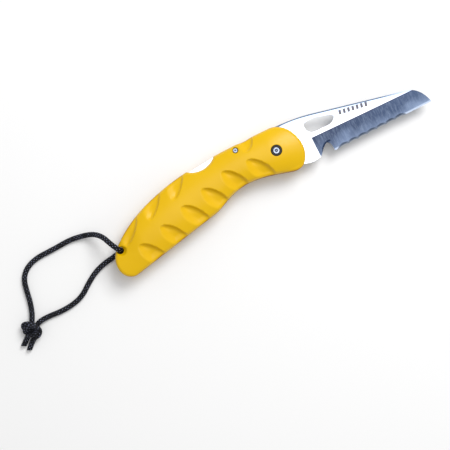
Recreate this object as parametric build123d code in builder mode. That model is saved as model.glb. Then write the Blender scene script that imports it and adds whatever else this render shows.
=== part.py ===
"""Folding rigging knife, lying on its side with the blade open.

The knife lies flat: +X runs from the butt to the blade's tip, +Y from the belly to the back,
and +Z up through the front handle scale. The origin is the bottom centre of the knife without
its lanyard. Every sketch is drawn about the blade's pivot, in millimetres.

The lock bar is modelled with its hook lifted just clear of the blade's tang. It drops
3.2 degrees to lock. The blade turns through 158 degrees to close.
"""

import os
from math import atan2, cos, degrees, hypot, pi, radians, sin, sqrt, tan

from build123d import *

# Driving dimensions.
PIVOT = (7.9, 6.1)  # where the blade's pivot stands from the origin
MID_HEIGHT = 8.3  # the knife's middle plane above the surface it lies on

BLADE_THICK = 2.6
GAP = 0.3  # between a blade face and its liner, filled by a washer
LINER_THICK = 1.0
CROWN = 6.0  # a scale's greatest thickness
LINER_INSET = 0.5  # how far liners and spacer stand back from the scales' outline

LINER_Z = BLADE_THICK / 2 + GAP  # a liner's inner face, from the middle plane
SCALE_Z = LINER_Z + LINER_THICK  # a scale's inner face, from the middle plane

# Places, about the blade's pivot.
LOCK_PIN = (-18.4, 9.5)
SPRING_PIN = (-70.0, -1.5)
LANYARD_HOLE = (-93.2, -9.2)
SCALE_SCREWS = [(-61.5, 5.0), (-77.3, -0.3), (-91.3, -17.6)]

# The lock.
TANG_RADIUS = 6.0
LOBE_RADIUS = 7.1  # of the tang behind the notch that the hook drops into
HOOK_RADIUS = 7.25  # the hook's concave end, about the pivot
LOBE_SWEEP = (120.8, 205.0)  # degrees about the pivot that the lobe covers
RAMP_END = 240.0  # where the lobe has run out into the hub
BAR_THICK = 3.1
BAR_BOSS = 2.0  # round the lock bar's pin

# Fasteners, as radii unless they say otherwise.
BARREL = 2.5  # pivot barrel
LOCK_BARREL = 1.25
SPRING_PIN_R = 0.9
LANYARD_HOLE_R = 1.8
RUNNING = 0.04  # radial clearance of what turns
SLACK = 0.03  # radial clearance of what only passes through
SCREW_SEAT = 4.6  # height of the scale screws' seats, from the middle plane

# The lanyard.
CORD = 2.8  # diameter
TABLE = CORD / 2 - MID_HEIGHT  # height of its centre where it lies on the surface


def level(z):
    """The plane at height z above the knife's middle plane, with its origin at the pivot."""
    return Plane(origin=(*PIVOT, MID_HEIGHT + z))


def place(x, y, z):
    """A point given about the pivot and the middle plane, in the row frame."""
    return (PIVOT[0] + x, PIVOT[1] + y, MID_HEIGHT + z)


def write(node, name):
    """Label a finished piece and write it as one STEP file."""
    node.part.label = name
    export_step(node.part, f"parts/{name}.step")


# Profiles


def shifted(points, dx, dy):
    """The points, all moved by dx and dy."""
    return [(x + dx, y + dy) for x, y in points]


def handle_profile(inset=0.0):
    """Side profile of the handle with its thumb cut-out, set in by about inset."""
    back_points = shifted(
        [(2, 11.8), (-28, 12.0), (-48, 10.8), (-65, 7.4), (-80, 2.0), (-93.5, -6.6)], 0, -inset
    )
    butt_points = shifted([(-97.3, -11.4), (-98.4, -16), (-96.6, -21.8)], inset, 0)
    waist_points = shifted(
        [(-42, -14.6), (-31.5, -10.6), (-20, -8.3), (-8, -9.9), (3, -13.1)], 0, inset
    )
    lower_pull, nose, *upper_pulls = shifted(
        [(13.43, -10.2), (13.5, -4), (13.6, 4.6), (8.6, 11.62)], -inset, 0
    )
    heel = (-91, -24.1 + inset)
    with BuildSketch() as profile:
        with BuildLine():
            back = Spline(*back_points, tangents=[(-1, 0.03), (-0.77, -0.64)])
            butt = Spline(back @ 1, *butt_points, heel, tangents=[back % 1, (0.9818, 0.19)])
            Line(heel, waist_points[0])
            waist = Spline(*waist_points, tangents=[(0.9818, 0.19), (0.955, -0.297)])
            Bezier(waist @ 1, waist @ 1 + 6.0 * (waist % 1), lower_pull, nose)
            Bezier(nose, *upper_pulls, back @ 0)
        make_face()
        with BuildSketch(mode=Mode.SUBTRACT):
            with BuildLine():
                ThreePointArc((-28.2 + inset, 13.5), (-37.8, 8.5 - inset), (-48 - inset, 12.5))
                Polyline((-48 - inset, 12.5), (-48, 16), (-28, 16), (-28.2 + inset, 13.5))
            make_face()
    return profile.sketch


def hook_outline():
    """Side profile of the lock bar, hook to the front and thumb tail behind."""
    with BuildSketch() as profile:
        with BuildLine():
            rear_foot = (-3.3, sqrt(HOOK_RADIUS**2 - 3.3**2))
            nose_foot = (0.3, sqrt(HOOK_RADIUS**2 - 0.3**2))
            middle = (-1.5, sqrt(HOOK_RADIUS**2 - 1.5**2))
            ThreePointArc(rear_foot, middle, nose_foot)
            Polyline(
                nose_foot, (0.3, 11.4), (-13, 11.25), (-24, 11.5), (-29.3, 11.7), (-47.5, 10.05),
                (-47.5, 7.0), (-43, 6.95), (-21, 8.6), (-16.4, 8.4), (-3.3, 8.4), rear_foot,
            )
        make_face()
        with Locations(LOCK_PIN):
            Circle(BAR_BOSS)
            Circle(LOCK_BARREL + RUNNING, mode=Mode.SUBTRACT)
    return profile.sketch


def socket(radius):
    """Six-lobe screw socket."""
    with BuildSketch() as profile:
        Circle(0.78 * radius)
        with PolarLocations(0.78 * radius, 6):
            Circle(0.24 * radius)
    return profile.sketch


# Handle scales

# The dome over a scale: place along the knife, belly edge, back edge, crown and edge heights.
DOME = [
    (15.0, -11.5, 8.0, 3.6, 2.0),
    (-3.0, -10.9, 11.9, CROWN, 2.3),
    (-20.0, -8.4, 12.1, CROWN, 2.3),
    (-40.0, -14.0, 11.7, CROWN, 2.3),
    (-60.0, -18.1, 8.8, CROWN, 2.3),
    (-80.0, -22.0, 2.1, 5.4, 2.1),
    (-92.0, -24.0, -5.6, 3.6, 1.6),
    (-100.5, -23.6, -10.6, 2.4, 1.4),
]
DOME_MARGIN = 2.5  # how far the dome runs on past the outline

# Grip hollows: where each one's rounded inner end is.
BELLY_HOLLOWS = [
    (-13.0, -2.4), (-26.8, -1.6), (-39.8, -5.4), (-53.0, -8.8), (-66.6, -12.7), (-80.4, -16.2),
]
BACK_HOLLOWS = [(-12.8, 10.9), (-55.0, 5.0), (-70.4, 1.7), (-86.6, -4.8)]
BELLY_RUN = -57.0  # degrees, towards the belly and the tip
BACK_RUN = 52.0  # degrees, towards the back and the tip
HOLLOW_RADIUS = 5.4
HOLLOW_DEPTH = 1.3
HOLLOW_TILT = 22.0  # degrees that a hollow dives towards the handle's edge


def dome():
    """Solid under a scale's outer surface, larger than the outline all round."""
    with BuildPart() as body:
        for x, belly, back, crown, edge in DOME:
            middle, half, rise = (belly + back) / 2, (back - belly) / 2, crown - edge
            radius = (half**2 + rise**2) / (2 * rise)
            reach = half + DOME_MARGIN
            foot = SCALE_Z + crown - radius + sqrt(radius**2 - reach**2)
            section = Plane(origin=place(x, 0, 0), x_dir=(0, 1, 0), z_dir=(1, 0, 0))
            with BuildSketch(section):
                with BuildLine():
                    ThreePointArc(
                        (middle - reach, foot), (middle, SCALE_Z + crown), (middle + reach, foot)
                    )
                    Polyline(
                        (middle + reach, foot), (middle + reach, -2), (middle - reach, -2),
                        (middle - reach, foot),
                    )
                make_face()
        loft()
    return body.part


def surface_height(x, y):
    """Height of the dome over a point, above the middle plane."""
    low = next(i for i in range(len(DOME) - 1) if DOME[i][0] >= x >= DOME[i + 1][0])
    (x0, *a), (x1, *b) = DOME[low], DOME[low + 1]
    share = (x0 - x) / (x0 - x1)
    belly, back, crown, edge = (p + share * (q - p) for p, q in zip(a, b))
    half, rise = (back - belly) / 2, crown - edge
    radius = (half**2 + rise**2) / (2 * rise)
    return SCALE_Z + crown - radius + sqrt(radius**2 - (y - (belly + back) / 2) ** 2)


def grip_hollow(x, y, run):
    """Round-nosed cutter for one grip hollow, diving towards the handle's edge."""
    tilt = radians(HOLLOW_TILT)
    along = (cos(radians(run)) * cos(tilt), sin(radians(run)) * cos(tilt), -sin(tilt))
    nose = place(x, y, surface_height(x, y) + HOLLOW_RADIUS - HOLLOW_DEPTH)
    with BuildPart() as cutter:
        with BuildSketch(Plane(origin=nose, z_dir=along)):
            Circle(HOLLOW_RADIUS)
        extrude(amount=30)
        with Locations(nose):
            Sphere(HOLLOW_RADIUS)
    return cutter.part


def blank_scale():
    """Front scale before its holes: outline, dome and grip hollows."""
    with BuildPart() as blank:
        with BuildSketch(level(SCALE_Z)):
            add(handle_profile())
        extrude(amount=CROWN + 2)
        add(dome(), mode=Mode.INTERSECT)
        for x, y in BELLY_HOLLOWS:
            add(grip_hollow(x, y, BELLY_RUN), mode=Mode.SUBTRACT)
        for x, y in BACK_HOLLOWS:
            add(grip_hollow(x, y, BACK_RUN), mode=Mode.SUBTRACT)
    return blank.part


def bore(radius, low, high, *spots):
    """Cut round holes between two heights from the middle plane, in the part being built."""
    with Locations(*[place(x, y, low) for x, y in spots]):
        Cylinder(radius, high - low, align=(Align.CENTER, Align.CENTER, Align.MIN), mode=Mode.SUBTRACT)


def flare(x, y):
    """Cut the flared mouth of the lanyard hole, in the part being built."""
    with Locations(place(x, y, MOUTH_Z)):
        Cone(LANYARD_HOLE_R, LANYARD_HOLE_R + 2, 2, align=(Align.CENTER, Align.CENTER, Align.MIN),
             mode=Mode.SUBTRACT)


PIVOT_SEAT = 6.4  # height of the pivot collars' seats, from the middle plane
COLLAR_R = 2.85
COLLAR_TOP = 8.25
COLLAR_FLOOR = 0.5
PIVOT_SCREW_R = 1.47
PIVOT_HEAD_R = 1.8
LOCK_SEAT = 4.7
LOCK_SCREW_R = 0.77
LOCK_HEAD_R = 1.2
LOCK_RECESS_R = 1.55
SCREW_R = 1.0
SCREW_HEAD_R = 1.6
INSERT_R = 1.6
INSERT_TOP = 5.2
MOUTH_Z = 4.2  # where the lanyard hole starts to flare

CENTRE = (0, 0)

with BuildPart() as front_scale:
    add(blank_scale())
    bore(PIVOT_SCREW_R + 0.05, SCALE_Z, 12, CENTRE)
    bore(COLLAR_R + SLACK, PIVOT_SEAT, 12, CENTRE)
    bore(LOCK_SCREW_R + 0.05, SCALE_Z, 12, LOCK_PIN)
    bore(LOCK_RECESS_R, LOCK_SEAT, 12, LOCK_PIN)
    bore(LANYARD_HOLE_R, SCALE_Z, 12, LANYARD_HOLE)
    flare(*LANYARD_HOLE)

with BuildPart() as rear_scale:
    add(front_scale.part)
    bore(SCREW_R + 0.05, SCALE_Z, 12, *SCALE_SCREWS)
    bore(SCREW_HEAD_R + 0.1, SCREW_SEAT, 12, *SCALE_SCREWS)
    mirror(about=level(0), mode=Mode.REPLACE)
    split(bisect_by=Plane.XY, keep=Keep.TOP)

with front_scale:
    bore(INSERT_R + SLACK, SCALE_Z, INSERT_TOP + 0.05, *SCALE_SCREWS)

# Liners and spacer

INSET_PROFILE = handle_profile(LINER_INSET)


def liner(name, low):
    """One steel liner standing on the given height."""
    with BuildPart() as plate:
        with BuildSketch(level(low)):
            add(INSET_PROFILE)
        extrude(amount=LINER_THICK)
        bore(BARREL + SLACK, low, low + LINER_THICK, CENTRE)
        bore(LOCK_BARREL + SLACK, low, low + LINER_THICK, LOCK_PIN)
        bore(SPRING_PIN_R + SLACK, low, low + LINER_THICK, SPRING_PIN)
        bore(LANYARD_HOLE_R, low, low + LINER_THICK, LANYARD_HOLE)
        bore(SCREW_R + 0.05, low, low + LINER_THICK, *SCALE_SCREWS)
    write(plate, name)


EYE_POCKET_R = 2.4  # room round the leaf spring's eye

with BuildPart() as back_spacer:
    with BuildSketch(level(-LINER_Z)):
        with BuildLine():
            Polyline(
                (-49.5, 20), (-49.5, 7.7), (-68.5, 0.4), SPRING_PIN, (-68.3, -3.2), (-63, -1.7),
                (-63, -9.9), (-83, -17.9), (-83, -30), (-120, -30), (-120, 20), (-49.5, 20),
            )
        make_face()
        add(INSET_PROFILE, mode=Mode.INTERSECT)
        with Locations(SPRING_PIN):
            Circle(EYE_POCKET_R, mode=Mode.SUBTRACT)
    extrude(amount=2 * LINER_Z)
    bore(LANYARD_HOLE_R, -LINER_Z, LINER_Z, LANYARD_HOLE)
    bore(SCREW_R + 0.05, -LINER_Z, LINER_Z, *SCALE_SCREWS)

# Blade

SPINE_SLOPE = -0.236
EDGE_Y = -13.2
EDGE_THICK = 0.3
BEVEL_START = 19.2
BEVEL_TOP = -2.2  # the bevel's upper line at its start
BEVEL_FALL = -0.0273  # slope of that line
SCALLOPS = 7
SCALLOP_PITCH = 5.3
SCALLOP_DEPTH = 0.6
SCALLOP_FIRST = 32.6
GRIND_ANGLE = 25.0  # degrees between a scallop's facet and the blade


def tang_profile():
    """The tang: a round hub, and the lobe whose front corner is the notch's rear wall."""
    lobe_start, lobe_end = (radians(angle) for angle in LOBE_SWEEP)
    lobe_middle, ramp_end = (lobe_start + lobe_end) / 2, radians(RAMP_END)
    with BuildSketch() as profile:
        Circle(TANG_RADIUS)
        with BuildLine():
            rear_wall = (LOBE_RADIUS * cos(lobe_start), LOBE_RADIUS * sin(lobe_start))
            middle = (LOBE_RADIUS * cos(lobe_middle), LOBE_RADIUS * sin(lobe_middle))
            lobe_foot = (LOBE_RADIUS * cos(lobe_end), LOBE_RADIUS * sin(lobe_end))
            ThreePointArc(rear_wall, middle, lobe_foot)
            ramp_foot = (TANG_RADIUS * cos(ramp_end), TANG_RADIUS * sin(ramp_end))
            Polyline(lobe_foot, ramp_foot, CENTRE, (rear_wall[0], 3), rear_wall)
        make_face()
    return profile.sketch


def blade_profile():
    """Side profile of the blade from its shoulder to its tip, with its window and shackle slot."""
    with BuildSketch() as profile:
        with BuildLine():
            shoulder = Line((0.55, 3), (0.8, 11.45))
            back = Spline(shoulder @ 1, (10, 11.0), (20, 9.8), (32, 7.1),
                          tangents=[(1, -0.02), (1, SPINE_SLOPE)])
            slope = Line(back @ 1, (73, -2.6))
            toe = Spline(slope @ 1, (78.2, -5.4), (81, -9.4), (82.4, EDGE_Y),
                         tangents=[(1, SPINE_SLOPE), (0.3, -1)])
            edge = Line(toe @ 1, (27.3, EDGE_Y))
            slot = Spline(edge @ 1, (27.0, -9.8), (25.6, -7.9), (22.9, -9.2), (19.35, -12.9),
                          tangents=[(-0.1, 1), (-0.75, -0.66)])
            choil = Spline(slot @ 1, (17.6, -13.15), (15.2, -13.4), (9.5, -12.1),
                           tangents=[(-1, -0.1), (-1, 0.35)])
            Polyline(choil @ 1, (1.55, -5.8), (0.55, -3), shoulder @ 0)
        make_face()
        with BuildSketch(mode=Mode.SUBTRACT):
            with BuildLine():
                Spline(
                    (19.6, 6.35), (24.8, 6.45), (29, 5.35), (34.3, 2.4), (32.2, 0.35), (26.6, -0.1),
                    (20.4, 0.5), (18.5, 3.2), periodic=True,
                )
            make_face()
    return profile.sketch


def bevel_cutter():
    """Wedge that grinds the front face down from the bevel's upper line to the edge."""
    with BuildPart() as cutter:
        for x in (BEVEL_START, 95):
            top = BEVEL_TOP + BEVEL_FALL * (x - BEVEL_START)
            fall = (BLADE_THICK - EDGE_THICK) / 2 / (top - EDGE_Y)
            with BuildSketch(Plane(origin=place(x, 0, 0), x_dir=(0, 1, 0), z_dir=(1, 0, 0))):
                with BuildLine():
                    Polyline(
                        (top, BLADE_THICK / 2), (-18, BLADE_THICK / 2 - fall * (top + 18)), (-18, 4),
                        (top, 4), (top, BLADE_THICK / 2),
                    )
                make_face()
        loft()
    return cutter.part


def scallop_cutter(x):
    """Grinding wheel that leaves one scallop on the edge, from the front face."""
    tilt = radians(GRIND_ANGLE)
    rise = SCALLOP_DEPTH * sin(tilt)
    wheel = ((SCALLOP_PITCH / 2) ** 2 + rise**2) / (2 * rise)
    axis_y = EDGE_Y + SCALLOP_DEPTH - wheel * sin(tilt)
    axis_z = wheel * cos(tilt) - EDGE_THICK / 2
    with BuildPart() as cutter:
        centre = place(x, axis_y, axis_z)
        with BuildSketch(Plane(origin=centre, x_dir=(1, 0, 0), z_dir=(0, cos(tilt), sin(tilt)))):
            Circle(wheel)
        extrude(amount=6, both=True)
    return cutter.part


with BuildPart() as blade:
    with BuildSketch(level(0)):
        add(tang_profile())
        add(blade_profile())
        Circle(BARREL + RUNNING, mode=Mode.SUBTRACT)
    extrude(amount=BLADE_THICK / 2, both=True)
    wedge = bevel_cutter()
    add(wedge, mode=Mode.SUBTRACT)
    add(mirror(wedge, about=level(0), mode=Mode.PRIVATE), mode=Mode.SUBTRACT)
    for i in range(SCALLOPS):
        add(scallop_cutter(SCALLOP_FIRST + i * SCALLOP_PITCH), mode=Mode.SUBTRACT)

# Lock

with BuildPart() as lock_bar:
    with BuildSketch(level(0)):
        add(hook_outline())
    extrude(amount=BAR_THICK / 2, both=True)

SPRING_TIP = (-45.3, 6.1)
SPRING_TIP_R = 0.7
SPRING_EYE_R = 1.9
SPRING_WIDTH = 3.0
SPRING_ROOT = 0.75  # half of its thickness at the eye
SPRING_END = 0.45  # and at the tip

with BuildPart() as lock_spring:
    with BuildSketch(level(0)):
        run = hypot(SPRING_TIP[0] - SPRING_PIN[0], SPRING_TIP[1] - SPRING_PIN[1])
        lean = degrees(atan2(SPRING_TIP[1] - SPRING_PIN[1], SPRING_TIP[0] - SPRING_PIN[0]))
        with Locations(Location(SPRING_PIN, lean)):
            Polygon(
                (0, SPRING_ROOT), (0, -SPRING_ROOT), (run, -SPRING_END), (run, SPRING_END), align=None
            )
            Circle(SPRING_EYE_R)
            Circle(SPRING_PIN_R + RUNNING, mode=Mode.SUBTRACT)
        with Locations(SPRING_TIP):
            Circle(SPRING_TIP_R)
    extrude(amount=SPRING_WIDTH / 2, both=True)

# Turned pieces and fasteners


def turned(name, radius, bore_radius, low, high, spot):
    """A pin, or a tube where bore_radius isn't zero, standing between two heights."""
    with BuildPart() as piece:
        with BuildSketch(level(low)):
            with Locations(spot):
                Circle(radius)
                if bore_radius:
                    Circle(bore_radius, mode=Mode.SUBTRACT)
        extrude(amount=high - low)
    write(piece, name)


def screw(seat, reach, shank, head, head_height, *spots):
    """Socket screws pointing down, with their heads seated at one height."""
    with BuildPart() as piece:
        with BuildSketch(level(reach)):
            with Locations(*spots):
                Circle(shank)
        extrude(amount=seat - reach)
        with BuildSketch(level(seat)):
            with Locations(*spots):
                Circle(head)
        extrude(amount=head_height)
        chamfer(piece.edges().group_by(Axis.Z)[-1], 0.15 * head)
        with BuildSketch(level(seat + head_height)):
            with Locations(*spots):
                add(socket(0.55 * head))
        extrude(amount=-0.7 * head_height, mode=Mode.SUBTRACT)
    return piece.part


def both_sides(part, front_name, rear_name):
    """Write a piece of the front side, and its mirror image for the rear."""
    with BuildPart() as front:
        add(part)
    write(front, front_name)
    with BuildPart() as rear:
        mirror(part, about=level(0))
    write(rear, rear_name)


with BuildPart() as collar:
    with BuildSketch(level(PIVOT_SEAT)):
        Circle(COLLAR_R)
        Circle(PIVOT_SCREW_R + SLACK, mode=Mode.SUBTRACT)
    extrude(amount=COLLAR_TOP - PIVOT_SEAT)
    chamfer(collar.edges().group_by(Axis.Z)[-1].sort_by(SortBy.RADIUS)[-1], 0.3)
    bore(PIVOT_HEAD_R + SLACK, PIVOT_SEAT + COLLAR_FLOOR, COLLAR_TOP, CENTRE)

WASHER_THICK = 0.28
WASHER_R = 5.2

with BuildPart() as washer:
    with BuildSketch(level(LINER_Z - WASHER_THICK)):
        Circle(WASHER_R)
        Circle(BARREL + SLACK, mode=Mode.SUBTRACT)
    extrude(amount=WASHER_THICK)

SCREW_GAP = 0.3  # how far a screw's tip stays from the middle plane
pivot_screw = screw(PIVOT_SEAT + COLLAR_FLOOR, SCREW_GAP, PIVOT_SCREW_R, PIVOT_HEAD_R, 1.15, CENTRE)
lock_screw = screw(LOCK_SEAT, SCREW_GAP, LOCK_SCREW_R, LOCK_HEAD_R, 1.3, LOCK_PIN)
long_screws = screw(SCREW_SEAT, SCREW_GAP - INSERT_TOP, SCREW_R, SCREW_HEAD_R, 1.2, *SCALE_SCREWS)

# The lanyard: one cord through the hole, its two legs knotted together, and two free tails.
UPPER_LEG = [
    (*LANYARD_HOLE, 0), (*LANYARD_HOLE, 6.6), (-95.9, -4.2, 6.5), (-98.2, 1.2, 2.2), (-102.3, 4.8, -2.8),
    (-107.8, 6.6, -6.0), (-115, 7.8, TABLE), (-125, 7.3, TABLE), (-134.5, 7.3, TABLE), (-141.2, 5.0, TABLE),
    (-145.2, 0.6, TABLE), (-146.6, -5.5, TABLE), (-147.6, -11.5, TABLE), (-149.4, -17.3, TABLE),
    (-151.4, -21.6, TABLE),
]
LOWER_LEG = [
    (*LANYARD_HOLE, 0), (*LANYARD_HOLE, TABLE), (-98.9, -10.4, TABLE), (-105, -11.2, TABLE),
    (-111, -13.2, TABLE), (-116.6, -16.7, TABLE), (-121.9, -20.7, TABLE), (-128, -22.6, TABLE),
    (-135.5, -23.1, TABLE), (-143, -22.3, TABLE), (-150.2, -23.6, TABLE),
]
TAIL_A = [(-154.6, -25.9, TABLE), (-158.0, -27.8, TABLE), (-161.2, -30.4, TABLE)]
TAIL_B = [(-153.1, -28.6, TABLE), (-156.4, -30.6, TABLE), (-159.4, -33.5, TABLE)]
CORD_ENDS = [(UPPER_LEG, -1, -2), (LOWER_LEG, -1, -2), (TAIL_A, 0, 1), (TAIL_B, 0, 1)]  # at the knot
KNOT_CENTRE = (-152.5, -24.5)
KNOT_LENGTH = 9.8
KNOT_WIDTH = 7.2
KNOT_HEIGHT = 6.4
KNOT_ROUNDING = 2.4
KNOT_LEAN = -68.0  # degrees from +X to its length


def corner_radii(route):
    """The largest arc that each corner of a route allows."""
    points = [Vector(*p) for p in route]
    radii = []
    for before, corner, after in zip(points, points[1:], points[2:]):
        turn = (corner - before).get_angle(after - corner)
        shorter = min((corner - before).length, (after - corner).length)
        radii.append(0.45 * shorter / tan(radians(turn / 2)))
    return radii


def cord(name, route):
    """One stretch of cord along a route given about the pivot and the middle plane."""
    points = [place(*p) for p in route]
    radii = corner_radii(points)
    print(name, "radii", [round(r, 1) for r in radii])
    with BuildPart() as stretch:
        with BuildLine() as path:
            FilletPolyline(*points, radius=radii)
        with BuildSketch(Plane(origin=path.line @ 0, z_dir=path.line % 0)):
            Circle(CORD / 2)
        sweep()
    length = sum(edge.length for edge in path.edges())
    filled = stretch.part.volume / (pi * CORD**2 / 4 * length)
    print(name, "length", round(length, 1), "share of section times length", round(filled, 4))
    write(stretch, name)


def knot_relief(end, towards):
    """Clears a knot away from the flat end of a cord that meets it."""
    end, towards = place(*end), place(*towards)
    with BuildPart() as cutter:
        with BuildSketch(Plane(origin=end, z_dir=Vector(*towards) - Vector(*end))):
            Circle(CORD / 2 + 0.5)
        extrude(amount=8)
    return cutter.part


if __name__ == "__main__":
    os.makedirs("parts", exist_ok=True)
    for node, name in (
        (front_scale, "front_scale"), (rear_scale, "rear_scale"), (back_spacer, "back_spacer"),
        (blade, "blade"), (lock_bar, "lock_bar"), (lock_spring, "lock_spring"),
    ):
        write(node, name)
    liner("front_liner", LINER_Z)
    liner("rear_liner", -SCALE_Z)
    turned("pivot_barrel", BARREL, PIVOT_SCREW_R + SLACK, -SCALE_Z, SCALE_Z, CENTRE)
    turned("lock_barrel", LOCK_BARREL, LOCK_SCREW_R + SLACK, -SCALE_Z, SCALE_Z, LOCK_PIN)
    turned("spring_pin", SPRING_PIN_R, 0, -SCALE_Z, SCALE_Z, SPRING_PIN)
    both_sides(collar.part, "pivot_collar_front", "pivot_collar_rear")
    both_sides(washer.part, "pivot_washer_front", "pivot_washer_rear")
    both_sides(pivot_screw, "pivot_screw_front", "pivot_screw_rear")
    both_sides(lock_screw, "lock_screw_front", "lock_screw_rear")
    with BuildPart() as scale_screws:
        mirror(long_screws, about=level(0))
    write(scale_screws, "scale_screws")
    with BuildPart() as threaded_inserts:
        with BuildSketch(level(SCALE_Z)):
            with Locations(*SCALE_SCREWS):
                Circle(INSERT_R)
                Circle(SCREW_R + SLACK, mode=Mode.SUBTRACT)
        extrude(amount=INSERT_TOP - SCALE_Z)
    write(threaded_inserts, "threaded_inserts")
    cord("lanyard_upper_leg", UPPER_LEG)
    cord("lanyard_lower_leg", LOWER_LEG)
    cord("lanyard_tail_a", TAIL_A)
    cord("lanyard_tail_b", TAIL_B)
    reliefs = [knot_relief(route[at], route[next_at]) for route, at, next_at in CORD_ENDS]
    with BuildPart() as knot:
        with BuildSketch(level(-MID_HEIGHT)):
            with Locations(Location(KNOT_CENTRE, KNOT_LEAN)):
                SlotOverall(KNOT_LENGTH, KNOT_WIDTH)
        extrude(amount=KNOT_HEIGHT)
        fillet(knot.edges(), KNOT_ROUNDING)
        add(reliefs, mode=Mode.SUBTRACT)
    write(knot, "lanyard_knot")
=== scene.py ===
"""Looks of the rigging knife: its scales, its finishes, and its braided lanyard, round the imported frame.

Lengths named in millimetres are drawn about the blade's pivot: x towards the tip, y towards the
knife's back, z up from its middle plane.
"""

from math import cos, pi, radians, sin, sqrt

import bmesh
import bpy
import numpy as np
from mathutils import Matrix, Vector
from mathutils.geometry import delaunay_2d_cdt


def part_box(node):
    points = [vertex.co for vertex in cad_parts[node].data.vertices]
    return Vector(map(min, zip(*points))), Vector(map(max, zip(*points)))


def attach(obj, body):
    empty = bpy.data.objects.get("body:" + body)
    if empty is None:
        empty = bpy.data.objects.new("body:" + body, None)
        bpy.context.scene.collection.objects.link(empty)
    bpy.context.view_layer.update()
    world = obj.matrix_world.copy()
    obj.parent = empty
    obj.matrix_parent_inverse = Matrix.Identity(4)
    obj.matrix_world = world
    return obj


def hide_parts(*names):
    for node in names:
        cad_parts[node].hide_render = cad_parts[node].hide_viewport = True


MM = 0.001

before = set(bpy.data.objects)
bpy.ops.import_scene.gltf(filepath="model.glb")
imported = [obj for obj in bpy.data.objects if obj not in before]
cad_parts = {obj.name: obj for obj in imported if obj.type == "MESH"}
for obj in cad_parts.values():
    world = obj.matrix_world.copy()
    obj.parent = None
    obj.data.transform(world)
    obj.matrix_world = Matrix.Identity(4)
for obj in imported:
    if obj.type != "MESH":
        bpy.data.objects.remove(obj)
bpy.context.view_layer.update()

BARREL_LOW, BARREL_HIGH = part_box("pivot_barrel")
PIVOT = (BARREL_LOW + BARREL_HIGH) / 2  # the blade's pivot, on the middle plane


def place(x, y, z=0.0):
    """A point drawn about the pivot in millimetres, in the row frame in metres."""
    return (PIVOT.x + x * MM, PIVOT.y + y * MM, PIVOT.z + z * MM)


# ---------------------------------------------------------------- sizes, in millimetres about the pivot

SCALE_Z = 2.6  # a scale's inner face
LAND = 8.3  # the flat that the knife lies on, below the middle plane
LOCK_PIN = (-18.4, 9.5)
LANYARD_HOLE = (-93.2, -9.2)
LANYARD_HOLE_R = 1.8
SCALE_SCREWS = ((-61.5, 5.0), (-77.3, -0.3), (-91.3, -17.6))

# A hole in a scale: centre, radius above its seat, seat height, radius below it.
PIVOT_HOLE = ((0.0, 0.0), 2.88, 6.4, 1.52)
LOCK_HOLE = (LOCK_PIN, 1.55, 4.7, 0.82)
CORD_HOLE = (LANYARD_HOLE, LANYARD_HOLE_R, 3.6, LANYARD_HOLE_R)
SCREW_HOLES = tuple((spot, 1.7, 4.6, 1.05) for spot in SCALE_SCREWS)
MOUTH_Z = 4.2  # where the lanyard hole starts to flare
MOUTH_SLOPE = 1.2

# The dome over a scale: place along the knife, belly edge, back edge, crown and edge heights.
DOME = np.array([
    (15.0, -11.5, 8.0, 3.6, 2.0),
    (-3.0, -10.9, 11.9, 6.0, 2.3),
    (-20.0, -8.4, 12.1, 6.0, 2.3),
    (-40.0, -14.0, 11.7, 6.0, 2.3),
    (-60.0, -18.1, 8.8, 6.0, 2.3),
    (-80.0, -22.0, 2.1, 5.4, 2.1),
    (-92.0, -24.0, -5.6, 3.6, 1.6),
    (-100.5, -23.6, -10.6, 2.4, 1.4),
])[::-1]

# Grip hollows: centre, run in degrees, half length, half width on the crisp side and on the soft
# side, depth. The crisp side is the one towards the tip.
HOLLOWS = [((x + 3.8, y - 7.1), -55, 8.6, 3.7, 4.8, 2.1) for x, y in (
    (-14.8, 2.2), (-28.8, 2.65), (-41.7, -0.6), (-54.7, -3.7), (-68.4, -7.7), (-82.4, -11.3),
)] + [
    ((-52.7, 8.0), 53, 8.5, 3.0, 4.8, 1.6),
    ((-67.8, 4.3), 50, 8.5, 3.0, 4.8, 1.6),
    ((-84.2, -2.2), 48, 8.5, 3.0, 4.8, 1.6),
    ((-11.9, 10.7), 58, 5.2, 3.5, 3.8, 1.5),
]

# ---------------------------------------------------------------- curves


def spline(points, start, end, step=0.15):
    """Points along the smooth curve through the given ones, with unit directions at its ends."""
    points = np.array(points, float)
    h = np.linalg.norm(np.diff(points, axis=0), axis=1)
    count = len(points)
    matrix = np.eye(count)
    right = np.zeros_like(points)
    right[0] = np.array(start) / np.linalg.norm(start)
    right[-1] = np.array(end) / np.linalg.norm(end)
    for i in range(1, count - 1):
        before, after = h[i - 1], h[i]
        matrix[i, i - 1:i + 2] = after, 2 * (before + after), before
        right[i] = 3 * (after / before * (points[i] - points[i - 1])
                        + before / after * (points[i + 1] - points[i]))
    slopes = np.linalg.solve(matrix, right)
    out = []
    for i in range(count - 1):
        t = np.linspace(0, 1, max(2, int(h[i] / step)), endpoint=False)[:, None]
        out.append(
            (2 * t**3 - 3 * t**2 + 1) * points[i] + (t**3 - 2 * t**2 + t) * h[i] * slopes[i]
            + (3 * t**2 - 2 * t**3) * points[i + 1] + (t**3 - t**2) * h[i] * slopes[i + 1]
        )
    return np.vstack(out)


def even(points, step):
    """A closed line resampled at even steps."""
    loop = np.vstack([points, points[:1]])
    run = np.concatenate([[0], np.cumsum(np.linalg.norm(np.diff(loop, axis=0), axis=1))])
    at = np.linspace(0, run[-1], int(run[-1] / step), endpoint=False)
    return np.column_stack([np.interp(at, run, loop[:, i]) for i in range(loop.shape[1])])


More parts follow.
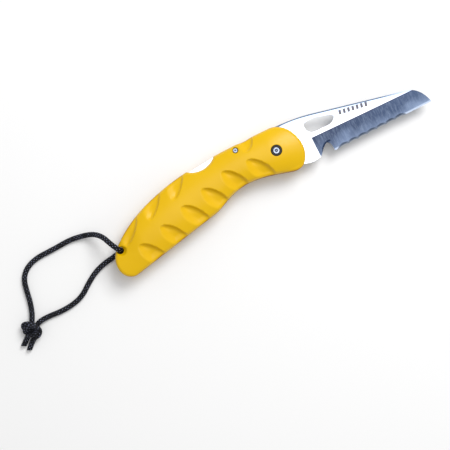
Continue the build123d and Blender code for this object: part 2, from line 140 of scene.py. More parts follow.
# The thumb cut-out: where it is along the knife, its lowest point and its radius.
THUMB_X, THUMB_Y, THUMB_R = -37.95, 8.5, 12.1
THUMB_BLEND = 1.2  # height over which its rims are rounded
THUMB_ROUNDING = 0.3
DIP_X, DIP_WIDTH, DIP_DEPTH = -12.3, 3.2, 0.45  # the shallow dip at the foremost hollow
OUTLINE_STEP = 0.35
FAR = 99


def handle_outline():
    """Side profile of the handle with its thumb cut-out, counter-clockwise."""
    back = spline([(2, 11.8), (-28, 12.0), (-48, 10.8), (-65, 7.4), (-80, 2.0), (-93.5, -6.6)],
                  (-1, 0.03), (-0.77, -0.64))
    x, y = back[:, 0], back[:, 1]
    squared = THUMB_R**2 - (x - THUMB_X) ** 2
    arc = np.where(squared > 0, THUMB_Y + THUMB_R - np.sqrt(np.maximum(squared, 0)), FAR)
    y = y - DIP_DEPTH * np.exp(-((x - DIP_X) / DIP_WIDTH) ** 2)
    gap = np.clip(0.5 + (y - arc) / THUMB_BLEND, 0, 1)
    back[:, 1] = y * (1 - gap) + arc * gap - THUMB_ROUNDING * gap * (1 - gap)
    butt = spline([(-93.5, -6.6), (-97.3, -11.4), (-98.4, -16), (-96.6, -21.8), (-91, -24.1)],
                  (-0.77, -0.64), (0.9818, 0.19))
    belly = np.linspace((-91, -24.1), (-42, -14.6), 300, endpoint=False)
    waist = spline([(-42, -14.6), (-31.5, -10.6), (-20, -8.3), (-8, -9.9), (3, -13.1)],
                   (0.9818, 0.19), (0.955, -0.297))
    front = spline(
        [(3, -13.1), (8.2, -13.2), (11.7, -9.9), (13.5, -4), (12.1, 3.9), (7.8, 9.6), (2, 11.8)],
        (0.955, -0.297), (-1, 0.03),
    )
    return even(np.vstack([back, butt, belly, waist, front]), OUTLINE_STEP)


def circle(centre, radius, count=56):
    """Points round a circle."""
    angle = np.linspace(0, 2 * pi, count, endpoint=False)
    return np.column_stack([centre[0] + radius * np.cos(angle), centre[1] + radius * np.sin(angle)])


def edge_distance(points, loop):
    """How far each point is from a closed line."""
    start, along = loop, np.roll(loop, -1, axis=0) - loop
    squared = (along**2).sum(1)
    nearest = np.empty(len(points))
    batch = 2000
    for low in range(0, len(points), batch):
        gap = points[low:low + batch, None, :] - start[None]
        share = np.clip((gap * along).sum(2) / squared, 0, 1)
        nearest[low:low + batch] = np.sqrt(((gap - share[..., None] * along) ** 2).sum(2).min(1))
    return nearest


def inside(points, loop):
    """Which points are inside a closed line."""
    x, y = points[:, 0:1], points[:, 1:2]
    ax, ay = loop[:, 0], loop[:, 1]
    bx, by = np.roll(ax, -1), np.roll(ay, -1)
    rise = np.where(by == ay, 1e-9, by - ay)
    crosses = ((ay > y) != (by > y)) & (x < (bx - ax) * (y - ay) / rise + ax)
    return crosses.sum(1) % 2 == 1


# ---------------------------------------------------------------- handle scales


def smooth_table(x, column):
    """A column of DOME at x, smooth from row to row and never past its values."""
    knots, values = DOME[:, 0], DOME[:, column]
    h, rise = np.diff(knots), np.diff(values)
    slope = rise / h
    product = slope[1:] * slope[:-1]
    total = slope[1:] + slope[:-1]
    inner = np.where(product > 0, 2 * product / np.where(total == 0, 1, total), 0)
    slopes = np.concatenate([slope[:1], inner, slope[-1:]])
    i = np.clip(np.searchsorted(knots, x) - 1, 0, len(h) - 1)
    t = np.clip((x - knots[i]) / h[i], 0, 1)
    return ((2 * t**3 - 3 * t**2 + 1) * values[i] + (t**3 - 2 * t**2 + t) * h[i] * slopes[i]
            + (3 * t**2 - 2 * t**3) * values[i + 1] + (t**3 - t**2) * h[i] * slopes[i + 1])


def hollow_depth(x, y):
    """How deep the grip hollows cut at each point: steep towards the tip, fading out behind."""
    depth = np.zeros_like(x)
    for (cx, cy), run, half_length, crisp, soft, deep in HOLLOWS:
        a, b = cos(radians(run)), sin(radians(run))
        along = ((x - cx) * a + (y - cy) * b) / half_length
        across = (x - cx) * abs(b) - (y - cy) * a * np.sign(b)
        across = np.where(across > 0, across / crisp, across / soft)
        r = np.minimum(np.sqrt(along**2 + across**2), 1)
        steep = np.clip((across + 0.45) / 0.8, 0, 1)
        steep = steep**2 * (3 - 2 * steep)
        depth = np.maximum(depth, deep * (steep * (1 - r**6) + (1 - steep) * (1 - r**2) ** 1.5))
    return depth


RIM = 1.5  # how far in a scale's rounded edge reaches
RIM_SHARE = 0.7  # of a scale's height that its rounded edge takes
HOLE_RIM = 0.2  # rounding round each hole
LOW_HEIGHT = 2.0  # below this, a hollow flattens out towards the edge


def surface(points, edge, holes, side):
    """Height of a scale's outer surface over each point."""
    x, y = points[:, 0], points[:, 1]
    belly, back, crown, rim = (smooth_table(x, i) for i in (1, 2, 3, 4))
    half, rise = (back - belly) / 2, crown - rim
    radius = (half**2 + rise**2) / (2 * rise)
    bulge = crown - radius + np.sqrt(np.maximum(radius**2 - (y - (belly + back) / 2) ** 2, 1))
    height = np.maximum(bulge, 0.9) - hollow_depth(x, y)
    height = np.where(height < LOW_HEIGHT, 1.3 + 0.35 * np.maximum(height, 0), height)
    roll = np.sqrt(1 - (1 - np.clip(edge / RIM, 0, 1)) ** 2)
    z = SCALE_Z + height * (1 - RIM_SHARE + RIM_SHARE * roll)
    for centre, top, _, _ in holes:
        gap = np.hypot(x - centre[0], y - centre[1]) - top
        z -= HOLE_RIM * (1 - np.sqrt(1 - (1 - np.clip(gap / HOLE_RIM, 0, 1)) ** 2))
    from_hole = np.hypot(x - LANYARD_HOLE[0], y - LANYARD_HOLE[1])
    z = np.minimum(z, MOUTH_Z + MOUTH_SLOPE * (from_hole - LANYARD_HOLE_R))
    return z if side > 0 else np.minimum(z, LAND)


def triangles(points, loops, holes):
    """Triangles over the points, inside the outer loop and outside the holes."""
    edges, first = [], 0
    for count in loops:
        edges += [(first + i, first + (i + 1) % count) for i in range(count)]
        first += count
    found = delaunay_2d_cdt([Vector(p) for p in points], edges, [list(range(loops[0]))], 1, 1e-7)
    flat = np.array([tuple(v) for v in found[0]])
    faces = np.array(found[2])
    middle = flat[faces].mean(1)
    keep = np.ones(len(faces), bool)
    for centre, radius in holes:
        keep &= np.hypot(middle[:, 0] - centre[0], middle[:, 1] - centre[1]) > radius
    return faces[keep]


GRID = 0.42  # spacing of a scale's points away from its edges


def surface_points(outline, rings, holes):
    """The points of a scale's outer surface: on its lines, then close to them, then between."""
    normal = np.roll(outline, -1, axis=0) - np.roll(outline, 1, axis=0)
    normal = np.column_stack([-normal[:, 1], normal[:, 0]]) / np.linalg.norm(normal, axis=1)[:, None]
    inner = np.vstack([outline + normal * d for d in (0.03, 0.12, 0.27, 0.5, 0.8, 1.15, 1.5)])
    inner = inner[inside(inner, outline)]
    inner = inner[edge_distance(inner, outline) > 0.02]
    near = [circle(centre, top + d) for centre, top, _, _ in holes for d in (0.04, 0.11, 0.2, 0.45)]
    near += [circle(LANYARD_HOLE, LANYARD_HOLE_R + d) for d in (0.7, 1.0, 1.4)]
    columns = np.arange(-100, 15, GRID)
    rows = np.arange(-26, 14, GRID * sqrt(3) / 2)
    grid = np.vstack([np.column_stack([columns + (GRID / 2 if i % 2 else 0), np.full(len(columns), row)])
                      for i, row in enumerate(rows)])
    grid = grid[inside(grid, outline)]
    grid = grid[edge_distance(grid, outline) > RIM + 0.2]
    inner = np.vstack([inner] + [ring[edge_distance(ring, outline) > 0.1] for ring in near] + [grid])
    for centre, top, _, _ in holes:
        inner = inner[np.hypot(inner[:, 0] - centre[0], inner[:, 1] - centre[1]) > top + 0.03]
    return np.vstack(rings + [inner])


def smooth_object(name, verts, faces, flat_ends=False, **attributes):
    """An object whose faces point outwards and are shaded smooth, except flat ends if it has them."""
    mesh = bpy.data.meshes.new(name)
    mesh.from_pydata(verts, [], faces)
    for attribute, values in attributes.items():
        layer = mesh.attributes.new(attribute, "FLOAT", "POINT")
        layer.data.foreach_set("value", values)
    work = bmesh.new()
    work.from_mesh(mesh)
    bmesh.ops.recalc_face_normals(work, faces=work.faces)
    for face in work.faces:
        face.smooth = not flat_ends or len(face.verts) == 4
    work.to_mesh(mesh)
    work.free()
    piece = bpy.data.objects.new(name, mesh)
    bpy.context.scene.collection.objects.link(piece)
    return piece


def add_scale(name, side, holes):
    """One handle scale: its domed and hollowed outer surface, edge, inner face and holes."""
    outline = handle_outline()
    rings = [outline] + [circle(centre, top) for centre, top, _, _ in holes]
    points = surface_points(outline, rings, holes)
    z = surface(points, edge_distance(points, outline), holes, side)
    tops = [(centre, top) for centre, top, _, _ in holes]
    faces = [tuple(face) for face in triangles(points, [len(ring) for ring in rings], tops)]
    verts = [(x, y, height) for (x, y), height in zip(points, z)]

    def ring_at(ring, height):
        verts.extend((x, y, height) for x, y in ring)
        return len(verts) - len(ring)

    def wall(first, second, count):
        for i in range(count):
            j = (i + 1) % count
            faces.append((first + i, first + j, second + j, second + i))

    start = ring_at(outline, SCALE_Z)
    wall(0, start, len(outline))
    first = len(outline)
    under = []
    for (centre, _, seat, low), ring in zip(holes, rings[1:]):
        small = circle(centre, low)
        seat_ring = ring_at(ring, seat)
        wall(first, seat_ring, len(ring))
        inner_ring = ring_at(small, seat)
        wall(seat_ring, inner_ring, len(ring))
        low_ring = ring_at(small, SCALE_Z)
        wall(inner_ring, low_ring, len(ring))
        under.append((low_ring, small, centre, low))
        first += len(ring)
    flat = np.vstack([outline] + [small for _, small, _, _ in under])
    index = np.concatenate([np.arange(start, start + len(outline))] + [
        np.arange(low_ring, low_ring + len(small)) for low_ring, small, _, _ in under
    ])
    for face in triangles(flat, [len(outline)] + [len(small) for _, small, _, _ in under],
                          [(centre, low) for _, _, centre, low in under]):
        faces.append(tuple(int(index[i]) for i in face))
    scale = smooth_object(name, [place(x, y, side * height) for x, y, height in verts], faces)
    scale.data.set_sharp_from_angle(angle=radians(42))
    return scale


# ---------------------------------------------------------------- lanyard

CORD = 2.8  # diameter
KNOT_CORD = 2.7  # pulled thinner in the knot
TABLE = CORD / 2 - LAND  # height of its centre where it lies on the surface
UPPER_LEG = [
    (-93.2, -9.2, 0), (-93.2, -9.2, 6.6), (-95.9, -4.2, 6.5), (-98.2, 1.2, 2.2), (-102.3, 4.8, -2.8),
    (-107.8, 6.6, -6.0), (-115, 7.8, TABLE), (-125, 7.3, TABLE), (-134.5, 7.3, TABLE), (-141.2, 5.0, TABLE),
    (-145.2, 0.6, TABLE), (-146.6, -5.5, TABLE), (-147.6, -11.5, TABLE), (-149.4, -17.3, TABLE),
]
LOWER_LEG = [
    (-93.2, -9.2, 0), (-93.2, -9.2, TABLE), (-98.9, -10.4, TABLE), (-105, -11.2, TABLE),
    (-111, -13.2, TABLE), (-116.6, -16.7, TABLE), (-121.9, -20.7, TABLE), (-128, -22.6, TABLE),
    (-135.5, -23.1, TABLE), (-143, -22.3, TABLE),
]
TAIL_A = [(-158.0, -27.8, TABLE), (-161.2, -30.4, TABLE)]
TAIL_B = [(-156.4, -30.6, TABLE), (-159.4, -33.5, TABLE)]
# Each strand's turns in the knot. They are drawn to look like a knot from outside: inside it the
# strands run through each other and bend more tightly than the cord could.
KNOT_UPPER = [
    (-151.4, -21.0, -6.4), (-152.6, -24.2, -6.7), (-153.0, -28.4, -6.0), (-149.8, -28.2, -4.0),
    (-149.4, -24.4, -2.9), (-152.6, -21.0, -2.9), (-156.2, -20.2, -4.4), (-156.0, -23.6, -5.8),
    (-152.0, -25.4, -5.4), (-150.8, -27.4, -3.6), (-153.6, -27.4, -3.4), (-155.8, -26.0, -5.2),
]
KNOT_LOWER = [
    (-149.0, -22.8, -6.0), (-151.6, -25.6, -6.9), (-151.6, -29.2, -5.4), (-148.8, -26.6, -3.4),
    (-151.2, -22.9, -2.5), (-155.0, -22.4, -2.7), (-157.0, -24.2, -5.0), (-154.2, -25.0, -6.6),
    (-150.4, -26.0, -5.4), (-150.6, -28.8, -4.6), (-153.6, -28.8, -5.6),
]


PATH_STEP = 0.2 * MM


def route_points(name, route):
    """Points close together along the smooth line that a route's own points control, and their run."""
    curve = bpy.data.curves.new(name, "CURVE")
    curve.dimensions = "3D"
    line = curve.splines.new("NURBS")
    line.points.add(len(route) - 1)
    for point, spot in zip(line.points, route):
        point.co = (*place(*spot), 1)
    line.order_u = 3
    line.use_endpoint_u = True
    line.resolution_u = 40
    holder = bpy.data.objects.new(name, curve)
    bpy.context.scene.collection.objects.link(holder)
    bpy.context.view_layer.update()
    mesh = bpy.data.meshes.new_from_object(holder)
    points = np.array([tuple(v.co) for v in mesh.vertices])
    bpy.data.objects.remove(holder)
    bpy.data.curves.remove(curve)
    bpy.data.meshes.remove(mesh)
    gaps = np.linalg.norm(np.diff(points, axis=0), axis=1)
    points = points[np.concatenate([[True], gaps > 1e-7])]
    run = np.concatenate([[0], np.cumsum(np.linalg.norm(np.diff(points, axis=0), axis=1))])
    at = np.linspace(0, run[-1], int(run[-1] / PATH_STEP))
    return np.column_stack([np.interp(at, run, points[:, i]) for i in range(3)]), at


ROUND = 48  # vertices round the cord
STRANDS = 8  # bundles of yarn that turn each way
LAY = 1.3 * MM  # run of one crossing along the cord
GLINT_ROWS = 5  # rows of painted glints, light specks in the braid's colour, that turn each way
GLINT_LAY = 1.8 * MM
RELIEF = 0.11 * MM  # depth of the braid
KNOT_MIDDLE = (-152.6, -24.8, -5.0)


def braided_cord(name, leg, knot, tail):
    """One half of the lanyard as a braided tube: its leg, its turn in the knot, and its tail."""
    path, run = route_points(name, leg + knot + tail)
    smooth = np.vstack([path[:1], (path[:-2] + 2 * path[1:-1] + path[2:]) / 4, path[-1:]])
    tangent = np.gradient(smooth, axis=0)
    tangent /= np.linalg.norm(tangent, axis=1)[:, None]
    side = np.array([0.3, 0.2, 1.0])
    sides = []
    for t in tangent:
        side = side - t * side.dot(t)
        side = side / np.linalg.norm(side)
        sides.append(side)
    sides = np.array(sides)
    others = np.cross(tangent, sides)
    away = np.linalg.norm(path - np.array(place(*KNOT_MIDDLE)), axis=1) / MM
    share = np.clip((away - 3.5) / 3.0, 0, 1)
    radius = (KNOT_CORD + (CORD - KNOT_CORD) * share * share * (3 - 2 * share)) / 2 * MM
    turn = np.arange(ROUND) / ROUND
    a = turn[None, :] * STRANDS + run[:, None] / LAY
    b = turn[None, :] * STRANDS - run[:, None] / LAY
    over = np.abs(np.sin(pi * a)) ** 0.8
    under = np.abs(np.sin(pi * b)) ** 0.8
    swap = 0.5 + 0.5 * np.sin(pi * (a + b) / 2 + pi / 4) * np.sin(pi * (a - b) / 2)
    crest = over * swap + under * (1 - swap)
    crest = 0.6 * crest + 0.4 * over * under
    reach = radius[:, None] - RELIEF * (1 - crest)
    # painted glints: where light specks go in the cord's colour
    fleck = (np.abs(np.sin(pi * (turn[None, :] * GLINT_ROWS + run[:, None] / GLINT_LAY)))
             * np.abs(np.sin(pi * (turn[None, :] * GLINT_ROWS - run[:, None] / GLINT_LAY))))
    angle = 2 * pi * turn
    outward = (np.cos(angle)[None, :, None] * sides[:, None, :]
               + np.sin(angle)[None, :, None] * others[:, None, :])
    verts = path[:, None, :] + reach[..., None] * outward
    end, t = path[-1], tangent[-1]
    cut = t * 0.93 + sides[-1] * 0.22 + others[-1] * 0.3  # the tail is cut at a slant
    cut /= np.linalg.norm(cut)
    over_end = (verts[-40:] - end + t * 0.4 * MM) @ cut
    verts[-40:] -= np.maximum(over_end, 0)[..., None] * t / cut.dot(t)
    rings = len(path)
    faces = []
    for i in range(rings - 1):
        this, following = i * ROUND, (i + 1) * ROUND
        faces += [(this + j, this + (j + 1) % ROUND, following + (j + 1) % ROUND, following + j)
                  for j in range(ROUND)]
    faces += [tuple(range(ROUND))[::-1], tuple(range((rings - 1) * ROUND, rings * ROUND))]
    piece = smooth_object(name, verts.reshape(-1, 3).tolist(), faces, flat_ends=True,
                          fleck=fleck.reshape(-1).astype(np.float32))
    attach(piece, "handle")
    return piece


# ---------------------------------------------------------------- materials


class Paint:
    """A procedural material under construction."""

    def __init__(self, name, colour, roughness, metallic=0.0, **sockets):
        self.material = bpy.data.materials.new(name)
        self.material.use_nodes = True
        self.nodes = self.material.node_tree.nodes
        self.links = self.material.node_tree.links
        self.shader = self.nodes["Principled BSDF"]
        self.shader.inputs["Base Color"].default_value = (*colour, 1)
        self.shader.inputs["Roughness"].default_value = roughness
        self.shader.inputs["Metallic"].default_value = metallic
        for socket, value in sockets.items():
            self.shader.inputs[socket.replace("_", " ")].default_value = value
        self.spot = self.nodes.new("ShaderNodeTexCoord").outputs["Object"]

    def put(self, socket, value):
        """Link a socket to another one, or set it to a number or colour."""
        if isinstance(value, bpy.types.NodeSocket):
            self.links.new(value, socket)
        else:
            socket.default_value = value

    def math(self, operation, *values):
        node = self.nodes.new("ShaderNodeMath")
        node.operation = operation
        for socket, value in zip(node.inputs, values):
            self.put(socket, value)
        return node.outputs[0]

    def length(self, x, y):
        squares = [self.math("MULTIPLY", value, value) for value in (x, y)]
        return self.math("SQRT", self.math("ADD", *squares))

    def about_pivot(self):
        """x and y about the pivot in millimetres."""
        node = self.nodes.new("ShaderNodeSeparateXYZ")
        self.links.new(self.spot, node.inputs[0])
        return [self.math("MULTIPLY", self.math("SUBTRACT", node.outputs[i], PIVOT[i]), 1 / MM)
                for i in (0, 1)]

    def noise(self, scale, detail=3.0, stretch=(1, 1, 1), roughness=0.55):
        mapping = self.nodes.new("ShaderNodeMapping")
        mapping.inputs["Scale"].default_value = stretch
        self.links.new(self.spot, mapping.inputs["Vector"])
        node = self.nodes.new("ShaderNodeTexNoise")
        node.inputs["Scale"].default_value = scale
        node.inputs["Detail"].default_value = detail
        node.inputs["Roughness"].default_value = roughness
        self.links.new(mapping.outputs[0], node.inputs["Vector"])
        return node.outputs["Fac"]

    def between(self, value, low, high, to_low, to_high):
        """A value's place from low to high, as a number from to_low to to_high."""
        node = self.nodes.new("ShaderNodeMapRange")
        for socket, item in zip(node.inputs, (value, low, high, to_low, to_high)):
            self.put(socket, item)
        return node.outputs[0]

    def mix(self, share, first, second):
        node = self.nodes.new("ShaderNodeMix")
        node.data_type = "RGBA"
        self.put(node.inputs["Factor"], share)
        for label, colour in (("A", first), ("B", second)):
            socket = [s for s in node.inputs if s.name == label and s.type == "RGBA"][0]
            self.put(socket, colour if isinstance(colour, bpy.types.NodeSocket) else (*colour, 1))
        return [s for s in node.outputs if s.type == "RGBA"][0]

    def bump(self, height, strength, distance):
        node = self.nodes.new("ShaderNodeBump")
        node.inputs["Strength"].default_value = strength
        node.inputs["Distance"].default_value = distance
        self.links.new(height, node.inputs["Height"])
        self.links.new(node.outputs[0], self.shader.inputs["Normal"])

    def colour(self, value):
        self.links.new(value, self.shader.inputs["Base Color"])

    def rough(self, value):
        self.links.new(value, self.shader.inputs["Roughness"])


def scale_paint():
    """Satin yellow plastic, with painted shade that turns its edge deep brown where it meets the liners."""
    paint = Paint("scale_plastic", (0.75, 0.45, 0.001), 0.36, Specular_IOR_Level=0.3)
    wide = paint.noise(60, 3)
    tone = paint.mix(paint.between(wide, 0.3, 0.7, 0, 1), (0.735, 0.44, 0.0), (0.775, 0.47, 0.001))
    parts = paint.nodes.new("ShaderNodeSeparateXYZ")
    paint.links.new(paint.spot, parts.inputs[0])
    height = paint.math("MULTIPLY", parts.outputs[2], 1 / MM)
    off = paint.math("ABSOLUTE", paint.math("SUBTRACT", height, LAND))  # from the middle plane
    # painted shade: near the middle plane the edge walls are mixed towards deep brown, as if in shadow
    paint.colour(paint.mix(paint.between(off, 3.3, 4.1, 0.95, 0), tone, (0.30, 0.075, 0.0)))
    paint.rough(paint.between(paint.noise(900, 2), 0.3, 0.7, 0.3, 0.4))
    paint.bump(paint.noise(4200, 2), 0.08, 0.00004)
    return paint.material


def steel_paint(name, colour, low, high, stretch, grain=300):
    """Brushed steel with a roughness from low to high, its streaks drawn out by stretch."""
    paint = Paint(name, colour, low, 1.0)
    streaks = paint.noise(grain, 4, stretch, 0.65)
    dark = tuple(c * 0.9 for c in colour)
    paint.colour(paint.mix(paint.between(streaks, 0.3, 0.7, 0, 1), dark, colour))
    paint.rough(paint.between(streaks, 0.3, 0.7, low, high))
    paint.bump(streaks, 0.06, 0.00003)
    return paint.material


def screw_paint(name, centre, dark, bright):
    """Steel head with painted light, by radius in millimetres: painted shade in its socket and on its rim,
    a painted highlight on a ring between them and a fainter one at its centre.
    """
    paint = Paint(name, (0.3, 0.34, 0.42), 0.25, 1.0)
    x, y = paint.about_pivot()
    dx, dy = paint.math("SUBTRACT", x, centre[0]), paint.math("SUBTRACT", y, centre[1])
    r = paint.length(dx, dy)
    # painted highlight: a bright ring between the socket and the rim
    ring = paint.math("MULTIPLY", paint.between(r, dark - 0.12, dark + 0.12, 0, 1),
                      paint.between(r, bright - 0.1, bright + 0.12, 1, 0))
    # painted highlight: a half-bright glint at the centre of the socket
    dot = paint.between(r, dark * 0.25, dark * 0.5, 0.5, 0)
    grain = paint.noise(1500, 3)
    shine = paint.mix(paint.between(grain, 0.35, 0.65, 0, 1), (0.24, 0.29, 0.40), (0.55, 0.60, 0.70))
    # painted shade: near-black everywhere outside the ring and the centre
    paint.colour(paint.mix(paint.math("ADD", ring, dot), (0.012, 0.014, 0.03), shine))
    paint.rough(paint.between(grain, 0.3, 0.7, 0.22, 0.36))
    paint.bump(grain, 0.06, 0.00003)
    return paint.material


def plain_paint(name, first, second, low, high, scale=600, metallic=0.0):
    """A material whose colour and roughness drift a little from place to place."""
    paint = Paint(name, first, low, metallic)
    grain = paint.noise(scale, 3)
    paint.colour(paint.mix(paint.between(grain, 0.3, 0.7, 0, 1), first, second))
    paint.rough(paint.between(grain, 0.3, 0.7, low, high))
    paint.bump(grain, 0.05, 0.00004)
    return paint.material


# The blade: where its bevel starts and how its upper line runs, and its etched bars.
BEVEL_START = 19.2
BEVEL_TOP = -2.2
BEVEL_FALL = 0.0273
SPINE_SLOPE = 0.236
BAR_PITCH = 2.3
BAR_ROW = (37, 3.4)  # where the row of bars starts


def blade_paint():
    """Polished flats, a satin bevel ground across, a row of etched bars, and painted light: a painted
    bluish reflection under the spine, a painted reflection that darkens the bevel towards its top and its
    heel, painted shade along the bevel's crest, the slot's edge and the spine edge, and a painted highlight
    along the cutting edge.
    """
    paint = Paint("blade_steel", (0.86, 0.87, 0.89), 0.16, 1.0)
    x, y = paint.about_pivot()
    past_start = paint.math("SUBTRACT", x, BEVEL_START)
    bevel_top = paint.math("SUBTRACT", BEVEL_TOP, paint.math("MULTIPLY", past_start, BEVEL_FALL))
    below = paint.math("SUBTRACT", bevel_top, y)
    past = paint.between(x, 19.15, 19.3, 0, 1)
    bevel = paint.math("MULTIPLY", paint.between(below, -0.06, 0.06, 0, 1), past)
    # painted shade: a dark line along the bevel's crest, where it meets the flat
    from_crest = paint.math("ABSOLUTE", paint.math("SUBTRACT", below, 0.12))
    crest = paint.math("MULTIPLY", paint.between(from_crest, 0.08, 0.3, 1, 0), past)
    short = paint.math("MINIMUM", paint.math("SUBTRACT", x, 32), 0)
    square = paint.math("MULTIPLY", short, short)
    spine = paint.math("SUBTRACT", 7.1, paint.math("MULTIPLY", paint.math("SUBTRACT", x, 32), SPINE_SLOPE))
    spine = paint.math("ADD", spine, paint.math("MULTIPLY", square, 0.001186))
    cube = paint.math("MULTIPLY", square, short)
    spine = paint.math("ADD", spine, paint.math("MULTIPLY", cube, 0.000175))
    # painted shade: a dark line along the spine edge, fading towards the tip
    edge = paint.between(paint.math("SUBTRACT", spine, y), 0.5, 0.8, 1, 0)
    edge = paint.math("MULTIPLY", edge, paint.between(x, 60, 72, 1, 0.3))
    grind = paint.noise(1100, 5, (1, 0.16, 1), 0.8)
    cloud = paint.noise(75, 2)
    # painted reflection: the bevel's dark blue, darker near its top and towards the heel, lighter towards
    # the edge and the tip
    run = paint.between(x, 20, 82, 0, 1)
    dark = paint.mix(run, (0.038, 0.052, 0.096), (0.065, 0.095, 0.17))
    light = paint.mix(run, (0.13, 0.175, 0.28), (0.28, 0.36, 0.52))
    drift = paint.math("MULTIPLY", paint.math("SUBTRACT", cloud, 0.5), 14)
    low = paint.between(paint.math("ADD", paint.math("SUBTRACT", below, 6.5), drift), -3, 4.5, 0, 1)
    bevel_grain_and_reflection = paint.mix(low, dark, light)
    bevel_grain_and_reflection = paint.mix(paint.between(grind, 0.45, 0.75, 0, 0.4), bevel_grain_and_reflection, (0.30, 0.37, 0.50))
    # painted highlight: the bevel is lightened along the cutting edge
    bevel_grain_and_reflection = paint.mix(paint.between(y, -12.1, -12.7, 0, 0.8), bevel_grain_and_reflection, (0.50, 0.58, 0.72))
    # painted shade: a dark arc along the edge of the shackle slot
    sx, sy = paint.math("SUBTRACT", x, 26.3), paint.math("ADD", y, 12.3)
    from_slot = paint.length(sx, sy)
    off_edge = paint.math("ABSOLUTE", paint.math("SUBTRACT", from_slot, 4.9))
    slot_shade = paint.between(off_edge, 0.35, 0.6, 0.9, 0)
    slot_shade = paint.math("MULTIPLY", slot_shade, paint.between(x, 27.2, 27.5, 1, 0))
    bevel_grain_and_reflection = paint.mix(slot_shade, bevel_grain_and_reflection, (0.01, 0.02, 0.05))
    flat = paint.mix(paint.between(cloud, 0.4, 0.65, 0, 0.35), (0.90, 0.92, 0.95), (0.66, 0.76, 0.90))
    # painted reflection: the flats are tinted blue near the spine
    under_spine = paint.math("SUBTRACT", spine, y)
    flat = paint.mix(paint.between(under_spine, 0.5, 5.5, 0.8, 0), flat, (0.42, 0.54, 0.74))
    # The etched bars are a plain row along the spine.
    bx, by = (paint.math("SUBTRACT", value, start) for value, start in zip((x, y), BAR_ROW))
    along = paint.math("ADD", paint.math("MULTIPLY", bx, 0.973), paint.math("MULTIPLY", by, -0.23))
    across = paint.math("ADD", paint.math("MULTIPLY", bx, 0.17), by)
    phase = paint.math("FRACT", paint.math("DIVIDE", along, BAR_PITCH))
    tooth = paint.math("ABSOLUTE", paint.math("SUBTRACT", phase, 0.5))
    bar = paint.between(tooth, 0.24, 0.32, 1, 0)
    tall = paint.between(paint.math("ABSOLUTE", paint.math("ADD", across, 0.3)), 1.1, 1.25, 1, 0)
    span = paint.between(paint.math("ABSOLUTE", paint.math("SUBTRACT", along, 8.05)), 8.0, 8.1, 1, 0)
    etch = paint.math("MULTIPLY", paint.math("MULTIPLY", bar, tall), span)
    colour = paint.mix(bevel, flat, bevel_grain_and_reflection)
    # painted shade on the crest line and along the spine edge; the etched bars are print
    colour = paint.mix(paint.math("MULTIPLY", crest, 0.85), colour, (0.03, 0.025, 0.08))
    colour = paint.mix(paint.math("MULTIPLY", edge, 0.95), colour, (0.05, 0.075, 0.13))
    colour = paint.mix(paint.math("MULTIPLY", etch, 0.9), colour, (0.09, 0.075, 0.09))
    paint.colour(colour)
    roughness = paint.between(bevel, 0, 1, 0.15, 0.38)
    paint.rough(paint.math("MAXIMUM", roughness, paint.math("MULTIPLY", etch, 0.6)))
    paint.bump(paint.math("MULTIPLY", grind, bevel), 0.12, 0.00003)
    return paint.material


def cord_paint():
    """Black braid with painted bluish glints on its surface."""
    paint = Paint("lanyard_cord", (0.006, 0.006, 0.008), 0.6, Specular_IOR_Level=0.18)
    node = paint.nodes.new("ShaderNodeAttribute")
    node.attribute_name = "fleck"
    # painted highlight: the glints are mixed towards bluish grey
    fleck = paint.math("MULTIPLY", paint.between(node.outputs["Fac"], 0.72, 0.9, 0, 1),
                       paint.between(paint.noise(500, 2), 0.4, 0.56, 0.25, 1))
    paint.colour(paint.mix(fleck, (0.0015, 0.0015, 0.002), (0.22, 0.24, 0.35)))
    paint.rough(paint.between(fleck, 0, 1, 0.62, 0.42))
    paint.bump(paint.noise(5200, 2), 0.25, 0.00004)
    return paint.material


def dress(material, *names):
    """Give these CAD nodes or pieces one material."""
    for name in names:
        piece = bpy.data.objects[name]
        piece.data.materials.clear()
        piece.data.materials.append(material)


front = add_scale("grip_front", 1, (PIVOT_HOLE, LOCK_HOLE, CORD_HOLE))
rear = add_scale("grip_rear", -1, (PIVOT_HOLE, LOCK_HOLE, CORD_HOLE) + SCREW_HOLES)
for piece, node in ((front, "front_scale"), (rear, "rear_scale")):
    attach(piece, "handle")
    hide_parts(node)

upper = braided_cord("cord_upper", UPPER_LEG, KNOT_UPPER, TAIL_A)
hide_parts("lanyard_upper_leg", "lanyard_tail_a", "lanyard_knot")
lower = braided_cord("cord_lower", LOWER_LEG, KNOT_LOWER, TAIL_B)
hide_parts("lanyard_lower_leg", "lanyard_tail_b")

dress(scale_paint(), "grip_front", "grip_rear")
dress(cord_paint(), "cord_upper", "cord_lower")
dress(blade_paint(), "blade")
dress(steel_paint("liner_steel", (0.62, 0.64, 0.67), 0.28, 0.42, (0.05, 1, 1)), "front_liner", "rear_liner")
dress(plain_paint("spacer_plastic", (0.012, 0.012, 0.013), (0.022, 0.022, 0.024), 0.45, 0.6),
      "back_spacer")
dress(steel_paint("lock_steel", (0.86, 0.87, 0.89), 0.14, 0.24, (0.06, 1, 1)), "lock_bar")
dress(steel_paint("spring_steel", (0.55, 0.57, 0.60), 0.25, 0.38, (0.06, 1, 1)), "lock_spring")
dress(screw_paint("pivot_head", (0.0, 0.0), 0.8, 1.55), "pivot_screw_front", "pivot_screw_rear")
dress(screw_paint("lock_head", LOCK_PIN, 0.42, 1.02), "lock_screw_front", "lock_screw_rear")
dress(steel_paint("fastener_steel", (0.42, 0.46, 0.54), 0.22, 0.34, (1, 1, 1), 1500), "scale_screws",
      "pivot_barrel", "lock_barrel", "spring_pin")
dress(plain_paint("black_collar", (0.002, 0.002, 0.003), (0.006, 0.006, 0.009), 0.5, 0.62, 1200),
      "pivot_collar_front", "pivot_collar_rear")
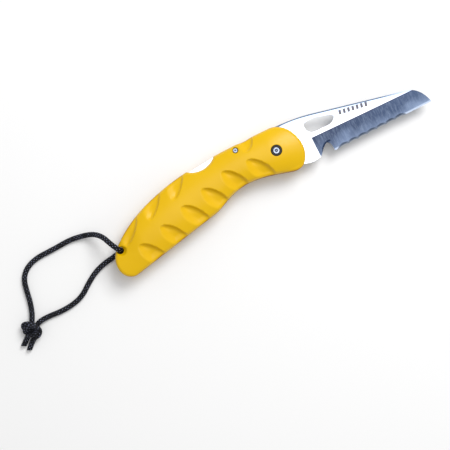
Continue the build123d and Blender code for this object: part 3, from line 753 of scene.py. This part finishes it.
dress(plain_paint("washer_bronze", (0.62, 0.36, 0.16), (0.50, 0.28, 0.12), 0.28, 0.42, 900, 1.0),
      "pivot_washer_front", "pivot_washer_rear")
dress(plain_paint("insert_brass", (0.75, 0.55, 0.24), (0.66, 0.46, 0.18), 0.25, 0.4, 900, 1.0),
      "threaded_inserts")

# ---------------------------------------------------------------- camera, light and floor

VIEW_TURN = radians(27)  # how far the knife is turned in the picture
VIEW_CENTRE = (-40.1, -21.7)  # what the picture is centred on
VIEW_WIDTH = 229.5 * MM
CAMERA_HEIGHT = 0.62


def add_camera():
    """The photograph's view, from straight above."""
    data = bpy.data.cameras.new("camera")
    camera = bpy.data.objects.new("camera", data)
    bpy.context.scene.collection.objects.link(camera)
    x, y, z = place(*VIEW_CENTRE)
    camera.location = (x, y, z + CAMERA_HEIGHT)
    camera.rotation_euler = (0, 0, -VIEW_TURN)
    data.sensor_width = 36
    data.lens = 36 * CAMERA_HEIGHT / VIEW_WIDTH
    data.clip_start = 0.01
    data.clip_end = 10
    bpy.context.scene.camera = camera
    bpy.context.scene.view_settings.view_transform = "Standard"


def area_light(name, towards, distance, size, power):
    """A square soft light aimed at the middle of the picture. towards is in picture axes."""
    data = bpy.data.lights.new(name, "AREA")
    data.shape = "SQUARE"
    data.size = size
    data.energy = power
    light = bpy.data.objects.new(name, data)
    bpy.context.scene.collection.objects.link(light)
    right, up, out = towards
    turn = -VIEW_TURN
    direction = Vector((
        right * cos(turn) - up * sin(turn), right * sin(turn) + up * cos(turn), out,
    )).normalized()
    centre = Vector(place(*VIEW_CENTRE))
    light.location = centre + direction * distance
    light.rotation_euler = (-direction).to_track_quat("-Z", "Y").to_euler()


def add_stage():
    """A plain pale floor, soft light from all round, and two lights."""
    mesh = bpy.data.meshes.new("floor")
    half = 1.5
    corners = [(-half, -half, 0), (half, -half, 0), (half, half, 0), (-half, half, 0)]
    mesh.from_pydata(corners, [], [(0, 1, 2, 3)])
    floor = bpy.data.objects.new("floor", mesh)
    bpy.context.scene.collection.objects.link(floor)
    paint = bpy.data.materials.new("floor_white")
    paint.use_nodes = True
    shader = paint.node_tree.nodes["Principled BSDF"]
    shader.inputs["Base Color"].default_value = (0.9, 0.9, 0.9, 1)
    shader.inputs["Roughness"].default_value = 0.9
    shader.inputs["Specular IOR Level"].default_value = 0.1
    mesh.materials.append(paint)
    world = bpy.data.worlds.new("studio")
    bpy.context.scene.world = world
    world.use_nodes = True
    world.node_tree.nodes["Background"].inputs["Color"].default_value = (1, 1, 1, 1)
    world.node_tree.nodes["Background"].inputs["Strength"].default_value = 0.44
    area_light("key_light", (0.4, 0.72, 1.0), 0.9, 0.42, 4.8)
    area_light("top_light", (0.16, 0.18, 1.0), 1.1, 0.85, 4.0)


add_camera()
add_stage()
